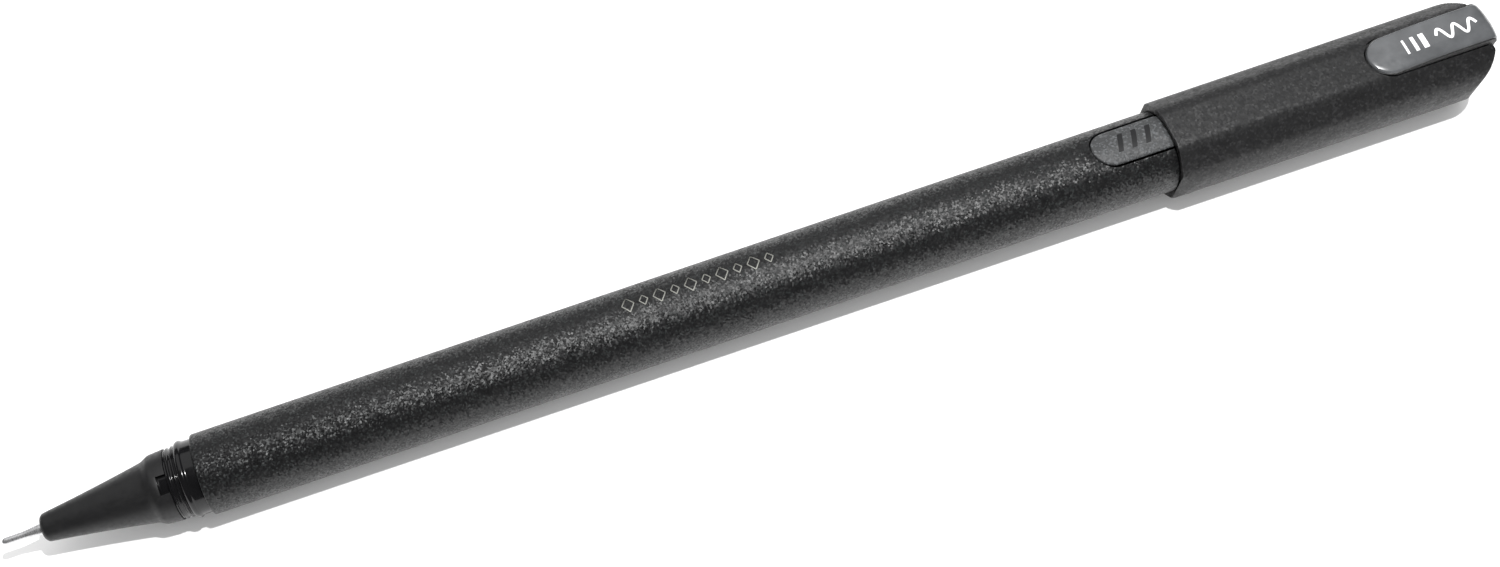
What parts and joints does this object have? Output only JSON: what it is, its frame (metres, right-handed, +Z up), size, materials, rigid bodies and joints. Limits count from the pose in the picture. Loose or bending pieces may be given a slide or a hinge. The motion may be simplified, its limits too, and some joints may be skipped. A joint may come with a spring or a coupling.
{
  "type": "gel pen",
  "caption": "Slim capped stick gel pen with a needle tip and a pull-out nose and refill, its flat-sided cap posted on the rear of the barrel.",
  "frame": {"origin": "centre of the pen's box, at the level of the cap's lower flat, which the pen rests on", "axes": "+X along the pen from the writing tip to the closed end of the cap, +Z up from the cap's lower flat to the flat with the inlay, +Y across the pen"},
  "size_m": [0.148, 0.0094, 0.0098],
  "materials": {
    "barrel_plastic": "satin, finely speckled",
    "tongue_plastic": "matt, finely speckled",
    "nose_plastic": "satin",
    "collar_plastic": "gloss",
    "natural_plastic": "satin, milky",
    "tip_steel": "polished",
    "spring_steel": "bright drawn wire",
    "tube_plastic": "translucent, smooth",
    "ink": "wet",
    "grease": "clear amber gel",
    "ball_carbide": "polished",
    "cap_plastic": "satin, finely speckled",
    "inlay_plastic": "gloss, smoky grey",
    "seal_rubber": "soft"
  },
  "bodies": {
    "barrel": {"barrel": "barrel_plastic", "rear_plug": "tongue_plastic"},
    "cap": {"cap_shell": "cap_plastic", "cap_inlay": "inlay_plastic", "inner_cap": "natural_plastic", "tip_seal": "seal_rubber"},
    "nose": {"nose_cone": "nose_plastic", "collar": "collar_plastic", "tip_holder": "natural_plastic", "needle_tip": "tip_steel", "ball_spring": "spring_steel", "refill_tube": "tube_plastic", "ink_column": "ink"},
    "ball": {"writing_ball": "ball_carbide"},
    "follower": {"grease_follower": "grease"}
  },
  "joints": [
    {"name": "cap_pull", "type": "slide", "parent": "barrel", "child": "cap", "axis": [1, 0, 0], "range_m": [0, 0.014]},
    {"name": "nose_pull", "type": "slide", "parent": "barrel", "child": "nose", "axis": [-1, 0, 0], "range_m": [0, 0.088]},
    {"name": "ball_roll", "type": "hinge", "parent": "nose", "child": "ball", "pos_m": [-0.0737, 0, 0.00441], "axis": [0, 1, 0], "continuous": true},
    {"name": "ink_use", "type": "slide", "parent": "nose", "child": "follower", "axis": [-1, 0, 0], "range_m": [0, 0.065], "deforming": ["ink_column"]}
  ]
}
